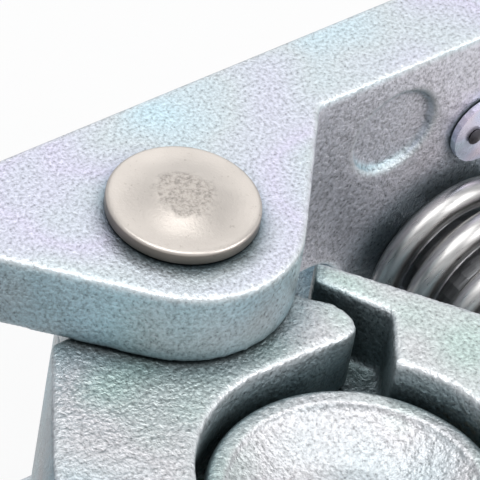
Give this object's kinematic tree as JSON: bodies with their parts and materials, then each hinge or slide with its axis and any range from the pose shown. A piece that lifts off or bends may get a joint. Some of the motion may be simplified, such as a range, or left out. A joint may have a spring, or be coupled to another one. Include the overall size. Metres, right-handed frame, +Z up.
{
  "type": "trailer coupler lock",
  "caption": "Cast twin-jaw coupler lock: sprung jaws on one pivot rivet close round the neck of a dished coupling post, with screw locks behind the springs.",
  "frame": {"origin": "middle of the part's outline in plan, at the level of its foot", "axes": "+X along the frame's bar, -Y towards the jaws' mouth, +Z up along the pivot rivet"},
  "size_m": [0.156, 0.1124, 0.0863],
  "materials": {
    "zinc_casting": "blue-passivated zinc plating over a fine cast grain",
    "rivet_steel": "pressed, warm grey, with a rough patch at the middle",
    "spring_steel": "drawn wire, plain steel",
    "plain_steel": "turned and zinc plated",
    "bronze": "turned bearing bronze",
    "plate_metal": "smooth blank sheet",
    "knob_plastic": "moulded, fine texture"
  },
  "bodies": {
    "frame": {"frame_casting": "zinc_casting", "pivot_rivet": "rivet_steel", "rivet_washer": "plain_steel", "type_plate": "plate_metal", "type_plate_pin_inner": "rivet_steel", "type_plate_pin_outer": "rivet_steel", "left_guide_stud": "plain_steel", "right_guide_stud": "plain_steel", "left_stud_nut": "plain_steel", "right_stud_nut": "plain_steel", "grease_nipple": "bronze", "left_spring": "spring_steel", "right_spring": "spring_steel"},
    "left_jaw": {"left_jaw": "zinc_casting", "left_jaw_lower_bush": "bronze", "left_jaw_upper_bush": "bronze", "left_spring_cup": "plain_steel", "left_neck_liner": "bronze"},
    "right_jaw": {"right_jaw": "zinc_casting", "right_jaw_bush": "bronze", "right_spring_cup": "plain_steel", "right_neck_liner": "bronze"},
    "post": {"coupling_post": "zinc_casting"},
    "left_lock": {"left_lock_screw": "plain_steel", "left_lock_knob": "knob_plastic"},
    "right_lock": {"right_lock_screw": "plain_steel", "right_lock_knob": "knob_plastic"}
  },
  "joints": [
    {"name": "left_jaw_swing", "type": "hinge", "parent": "frame", "child": "left_jaw", "pos_m": [0, 0.0155, 0.039], "axis": [0, 0, -1], "range_deg": [0, 8.5], "stiffness_Nm_per_rad": 40, "springref_deg": -11.46, "deforming": ["left_spring"]},
    {"name": "right_jaw_swing", "type": "hinge", "parent": "frame", "child": "right_jaw", "pos_m": [0, 0.0155, 0.039], "axis": [0, 0, 1], "range_deg": [0, 8.5], "stiffness_Nm_per_rad": 40, "springref_deg": -11.46, "deforming": ["right_spring"]},
    {"name": "post_swivel", "type": "hinge", "parent": "frame", "child": "post", "pos_m": [0, -0.0262, 0], "axis": [0, 0, 1], "continuous": true},
    {"name": "left_lock_turn", "type": "hinge", "parent": "frame", "child": "left_lock", "pos_m": [-0.0547, 0.0354, 0.039], "axis": [0, 1, 0], "range_deg": [0, 720]},
    {"name": "right_lock_turn", "type": "hinge", "parent": "frame", "child": "right_lock", "pos_m": [0.0547, 0.0354, 0.039], "axis": [0, 1, 0], "range_deg": [0, 720]}
  ]
}
